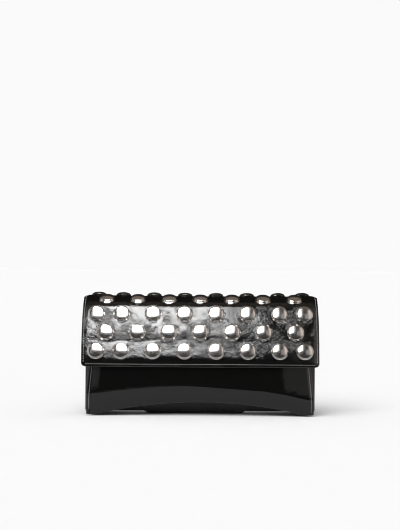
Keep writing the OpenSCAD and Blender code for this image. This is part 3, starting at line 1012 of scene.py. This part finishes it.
def twill(name, level, tint=(1, 0.95, 0.9)):
    """Woven lining: diagonal twill lines crossed by threads."""
    t = Tree(name)
    diagonal = t.bands(t.scaled(1, 1, 1, (0, 0.785, 0)), 520.0, "X", Distortion=0.6, Detail=1.0)
    threads = t.bands(t.coord, 900.0, "Z", Distortion=0.3)
    weave = t.maths("MULTIPLY", diagonal, t.ramp(threads, 0, 1, 0.6, 1.0))
    slub = t.noise(t.scaled(90, 90, 600), detail=3.0)
    light = t.maths("MULTIPLY", weave, slub)
    t.set(Base_Color=t.mix(light, grey(level * 0.5, tint), grey(level * 2.2, tint)),
          Roughness=t.ramp(slub, 0.3, 0.7, 0.68, 0.85), Normal=t.bump(weave, 0.12 * MM, 0.8),
          Sheen_Weight=0.15)
    return t.mat


def polished_metal(name, tint, rough=(0.13, 0.19), scratch=0.35):
    """Plated metal with hairline polishing marks and a slight haze."""
    t = Tree(name)
    lines = t.noise(t.scaled(500, 4200, 900, (0.3, 0.2, 0.5)), detail=3.0)
    haze = t.noise(t.scaled(260, 260, 260), detail=4.0, rough=0.6)
    tarnish = t.ramp(haze, 0.35, 0.75)
    t.set(Base_Color=t.mix(tarnish, grey(1.0, tint), grey(0.92, tint)), Metallic=1.0,
          Roughness=t.ramp(haze, 0.3, 0.7, *rough), Normal=t.bump(lines, 0.006 * MM, scratch))
    return t.mat


def fibre_board(name):
    """Brown pressed board, with its fibres along its width and depth."""
    t = Tree(name)
    fibres = t.noise(t.scaled(300, 300, 1500), detail=5.0, rough=0.7)
    specks = t.noise(t.scaled(2400, 2400, 2400), detail=2.0)
    t.set(Base_Color=t.mix(fibres, (0.20, 0.145, 0.095, 1), (0.40, 0.31, 0.22, 1)),
          Roughness=t.ramp(specks, 0.3, 0.7, 0.8, 0.95), Normal=t.bump(fibres, 0.08 * MM, 0.6))
    return t.mat


def thread(name, level):
    """Waxed twisted thread."""
    t = Tree(name)
    twist = t.bands(t.scaled(1, 1, 1, (0, 0.6, 0)), 1500.0, "DIAGONAL")
    t.set(Base_Color=t.mix(twist, grey(level * 0.6), grey(level * 1.4)),
          Roughness=t.ramp(twist, 0, 1, 0.36, 0.5), Normal=t.bump(twist, 0.05 * MM, 0.8))
    return t.mat


def dress(ob, material):
    """A piece takes its material."""
    ob.data.materials.clear()
    ob.data.materials.append(material)


# Build

crinkled = glazed_leather("crinkled_glaze")
calm = smooth_leather("calm_glaze")
# The underside takes a darker, duller copy of the satin leather: painted shade for the shadow under the
# wallet.
shaded_base_satin = satin_leather("shaded_base_satin", 0.0018, 0.22)
inner_leather = satin_leather("pocket_satin", 0.010)
gusset_leather = satin_leather("gusset_satin", 0.0025, 0.15)
lining_cloth = twill("lining_twill", 0.040)
pocket_cloth = twill("pocket_twill", 0.055)
tape_cloth = twill("tape_weave", 0.010, (1, 1, 1))
nickel = polished_metal("stud_nickel", (0.49, 0.472, 0.455), rough=(0.17, 0.22))
fitting_nickel = polished_metal("fitting_nickel", (0.70, 0.69, 0.67), rough=(0.14, 0.24), scratch=0.6)
washer_steel = polished_metal("washer_steel", (0.55, 0.55, 0.54), rough=(0.25, 0.4), scratch=0.8)
board = fibre_board("fibre_board")
wax_thread = thread("wax_thread", 0.30)

dress(make_skin(), crinkled)
dress(make_front(), calm)
dress(make_base(), shaded_base_satin)
dress(make_front_board(), board)
dress(make_front_lining(), lining_cloth)
for ob in make_gussets():
    dress(ob, gusset_leather)
for ob in make_studs():
    dress(ob, nickel)
for ob in (flap_stitches(), back_stitches(), front_stitches()):
    dress(ob, wax_thread)

for k, node in enumerate(n for n in sorted(nodes) if n.startswith("card_slot")):
    dress(soft_copy(node, node + "_sheet", seed=k * 3.3), inner_leather)
slip = soft_copy("slip_pocket", "slip_pocket_sheet", seed=41.0, follow_front=True)
dress(slip, inner_leather)
for node in ("zip_pocket_front", "zip_pocket_back"):
    dress(soft_copy(node, node + "_cloth", ripple=0.06 * MM, seed=17.0), pocket_cloth)
for node in ("flap_lining", "back_lining"):
    dress(soft_copy(node, node + "_cloth", ripple=0.05 * MM, seed=29.0), lining_cloth)
for node in ("zip_tape_front", "zip_tape_back"):
    tape = soft_copy(node, node + "_weave", bevel=0.08 * MM, ripple=0.02 * MM, seed=7.0)
    dress(tape, tape_cloth)
for node in ("ring_tab_left", "ring_tab_right"):
    tab = soft_copy(node, node + "_leather", bevel=0.12 * MM, ripple=0.0, cell=2 * MM)
    dress(tab, calm)


def carry(material, *names):
    """A CAD node that stays in view takes a finer material."""
    for name in names:
        ob = nodes[name]
        ob.data.materials.clear()
        ob.data.materials.append(material)


carry(fitting_nickel, "zip_teeth_front", "zip_teeth_back", "zip_stops", "zip_slider", "zip_puller",
      "ring_left", "ring_right", "tab_rivets_left", "tab_rivets_right", "flap_magnets", "front_magnets")
carry(washer_steel, *[f"washer_row_{k}" for k in range(1, 6)])
carry(board, "flap_board", "back_board", "base_board")


# Stage

def emitter(name, colour, strength, fades=()):
    """A glow in object space. A fade is an axis, where it is dim, where it is full, and the dim share."""
    t = Tree(name)
    tree = t.tree
    tree.nodes.remove(t.bsdf)
    glow = t.node("ShaderNodeEmission", {"Color": (*colour, 1)})
    level = strength
    split = t.node("ShaderNodeSeparateXYZ", {"Vector": t.coord})
    for axis, dim, full, share in fades:
        reach = {"Value": split.outputs[axis], "From Min": dim, "From Max": full, "To Min": share}
        fade = t.node("ShaderNodeMapRange", reach, interpolation_type="SMOOTHSTEP")
        level = t.maths("MULTIPLY", fade.outputs["Result"], level)
    t.feed(glow.inputs["Strength"], level)
    tree.links.new(glow.outputs[0], tree.nodes["Material Output"].inputs["Surface"])
    return t.mat


def card(name, verts, faces, material):
    """A reflector that only polished surfaces see."""
    mesh = bpy.data.meshes.new(name)
    mesh.from_pydata(verts, [], faces)
    mesh.materials.append(material)
    ob = add_object(name, mesh)
    for ray in ("camera", "diffuse", "transmission", "volume_scatter", "shadow"):
        setattr(ob, f"visible_{ray}", False)
    return ob


def quad(name, corners, colour, strength, fades=()):
    """A flat reflector with its own glow."""
    return card(name, corners, [(0, 1, 2, 3)], emitter(f"{name}_glow", colour, strength, fades))


# The softbox bends round the wallet's front, from BOX_FOOT to BOX_TOP degrees, and is dim beyond both
BOX_RADIUS = 0.16
BOX_CENTRE = (0, 0.062)
BOX_LEFT = -0.145
BOX_RIGHT = 0.09
SPILL_FOOT = -2
BOX_FOOT = 12.5
BOX_TOP = 68
BOX_RIM = 74


def arc_height(degrees):
    """Height of the softbox's arc at an elevation."""
    return BOX_CENTRE[1] + BOX_RADIUS * math.sin(math.radians(degrees))


def softbox(name, x0, x1, low, high, steps, colour, strength, fades):
    """A soft light bent round the wallet's front, from a low elevation to a high one."""
    verts = []
    for k in range(steps + 1):
        degrees = low + (high - low) * k / steps
        y = BOX_CENTRE[0] - BOX_RADIUS * math.cos(math.radians(degrees))
        verts += [(x0, y, arc_height(degrees)), (x1, y, arc_height(degrees))]
    faces = [(2 * k, 2 * k + 1, 2 * k + 3, 2 * k + 2) for k in range(steps)]
    return card(name, verts, faces, emitter(f"{name}_glow", colour, strength, fades))


def floor_material():
    """Plain pale paper."""
    t = Tree("pale_floor")
    grain = t.noise(t.scaled(40, 40, 40), detail=3.0)
    t.set(Base_Color=t.mix(grain, grey(0.795), grey(0.805)), Roughness=1.0, Specular_IOR_Level=0.0)
    return t.mat


FLOOR_SIZE = 30.0
FLOOR_Z = -0.2 * MM


def make_floor():
    """A wide pale floor just under the wallet."""
    a = FLOOR_SIZE
    mesh = bpy.data.meshes.new("floor")
    mesh.from_pydata([(-a, -a, 0), (a, -a, 0), (a, a, 0), (-a, a, 0)], [], [(0, 1, 2, 3)])
    mesh.materials.append(floor_material())
    floor = add_object("floor", mesh)
    floor.location.z = FLOOR_Z


WHITE = (1, 1, 1)
DUSK = (1, 0.84, 0.70)


def make_softboxes():
    """The bright softbox, strongest at its left, and its dim rim and spill."""
    softbox("softbox_top", BOX_LEFT, 0.05, BOX_TOP, BOX_RIM, 4, WHITE, 0.75, [("X", 0.05, 0.0, 0.1)])
    fades = [("X", BOX_LEFT, -0.11, 0.0), ("X", 0.095, -0.02, 0.0), ("X", 0.095, -0.02, 0.0),
             ("Z", 0.09, 0.17, 0.7), ("Z", arc_height(BOX_FOOT), 0.114, 0.0)]
    softbox("front_softbox", BOX_LEFT, BOX_RIGHT, BOX_FOOT, BOX_TOP, 24, WHITE, 22, fades)
    fades = [("Z", arc_height(SPILL_FOOT), arc_height(BOX_FOOT), 0.1)]
    softbox("softbox_spill", -0.16, 0.10, SPILL_FOOT, BOX_FOOT, 8, (1, 0.99, 0.97), 0.14, fades)


def standing(x0, y0, x1, y1, height):
    """Corners of a card that stands on the floor between two places."""
    return [(x0, y0, 0), (x1, y1, 0), (x1, y1, height), (x0, y0, height)]


def lying(half, y0, z0, y1, z1):
    """Corners of a card that lies across the wallet, from one depth and height to another."""
    return [(-half, y0, z0), (half, y0, z0), (half, y1, z1), (-half, y1, z1)]


def make_cards():
    """What the studs' sides and tops and the front panel reflect: warm ceiling, side cards, dark floor."""
    quad("ceiling_card", lying(0.12, -0.020, 0.1095, 0.003, 0.109), DUSK, 0.26)
    quad("ceiling_flag", lying(0.13, 0.003, 0.109, 0.30, 0.14), (1, 0.9, 0.8), 0.02)
    quad("right_card", standing(0.30, -0.40, 0.30, 0.05, 0.40), (1, 0.90, 0.84), 1.2,
         [("Y", -0.40, -0.34, 0.0)])
    quad("left_card", standing(-0.34, -0.18, -0.34, 0.08, 0.35), (1, 0.97, 0.93), 1.0,
         [("Y", -0.18, -0.15, 0.0)])
    quad("left_wall", standing(-0.34, -1.20, -0.50, -0.65, 0.5), (1, 0.99, 0.97), 0.60,
         [("Y", -1.2, -1.0, 0.0)])
    quad("right_wall", standing(0.22, -1.20, 0.50, -0.65, 0.5), (1, 0.98, 0.95), 0.50,
         [("Y", -1.2, -1.1, 0.0)])
    quad("dark_front_floor", lying(6, -0.066, 0.0004, -FLOOR_SIZE, 0.0004), (1, 0.96, 0.92), 0.055,
         [("Y", -0.066, -0.080, 9.0)])


PAPER_WHITE = 0.955


def make_world():
    """White behind the object for the camera, soft light for matt surfaces, a dim warm room for glossy."""
    world = bpy.data.worlds.new("studio")
    world.use_nodes = True
    tree = world.node_tree
    tree.nodes.clear()
    path = tree.nodes.new("ShaderNodeLightPath")

    def background(colour, strength):
        """A plain glow from all round."""
        b = tree.nodes.new("ShaderNodeBackground")
        b.inputs["Color"].default_value = (*colour, 1)
        b.inputs["Strength"].default_value = strength
        return b.outputs[0]

    def choose(fac, a, b):
        """b where fac is 1, otherwise a."""
        m = tree.nodes.new("ShaderNodeMixShader")
        tree.links.new(fac, m.inputs[0])
        tree.links.new(a, m.inputs[1])
        tree.links.new(b, m.inputs[2])
        return m.outputs[0]

    split = tree.nodes.new("ShaderNodeSeparateXYZ")
    tree.links.new(tree.nodes.new("ShaderNodeTexCoord").outputs["Generated"], split.inputs[0])
    high = tree.nodes.new("ShaderNodeMapRange")
    tree.links.new(split.outputs["Z"], high.inputs["Value"])
    high.inputs["From Min"].default_value = 0.62
    high.inputs["From Max"].default_value = 0.90
    room = choose(high.outputs[0], background((1, 0.96, 0.92), 0.05), background(DUSK, 0.20))
    room = choose(path.outputs["Is Glossy Ray"], background(WHITE, 0.5), room)
    out = tree.nodes.new("ShaderNodeOutputWorld")
    seen = choose(path.outputs["Is Camera Ray"], room, background((PAPER_WHITE,) * 3, 1.0))
    tree.links.new(seen, out.inputs[0])
    bpy.context.scene.world = world


KEY_ENERGY = 2.7
KEY_SPREAD = 55
KEY_FROM = Vector((-0.32, -0.62, 1.0))


def make_key():
    """One broad soft light from the upper left front; it makes the shadow and no reflection of its own."""
    data = bpy.data.lights.new("key", "SUN")
    data.energy = KEY_ENERGY
    data.angle = math.radians(KEY_SPREAD)
    ob = add_object("key", data)
    ob.rotation_euler = KEY_FROM.to_track_quat("Z", "Y").to_euler()
    ob.visible_glossy = False


CAMERA_AT = (-0.0007, -0.9334, 0.1269)
CAMERA_ROLL = -0.36
CAMERA_LENS = 74.4


def make_camera():
    """Level, at the height and distance that the stud lattice and the floor line give, rolled by a hair."""
    data = bpy.data.cameras.new("camera")
    data.sensor_width = 36
    data.lens = CAMERA_LENS
    ob = add_object("camera", data)
    ob.location = CAMERA_AT
    ob.rotation_euler = (math.radians(90), math.radians(CAMERA_ROLL), 0)
    bpy.context.scene.camera = ob


make_floor()
make_softboxes()
make_cards()
make_world()
make_key()
make_camera()
bpy.context.scene.view_settings.view_transform = "Standard"
bpy.context.scene.cycles.filter_width = 1.0
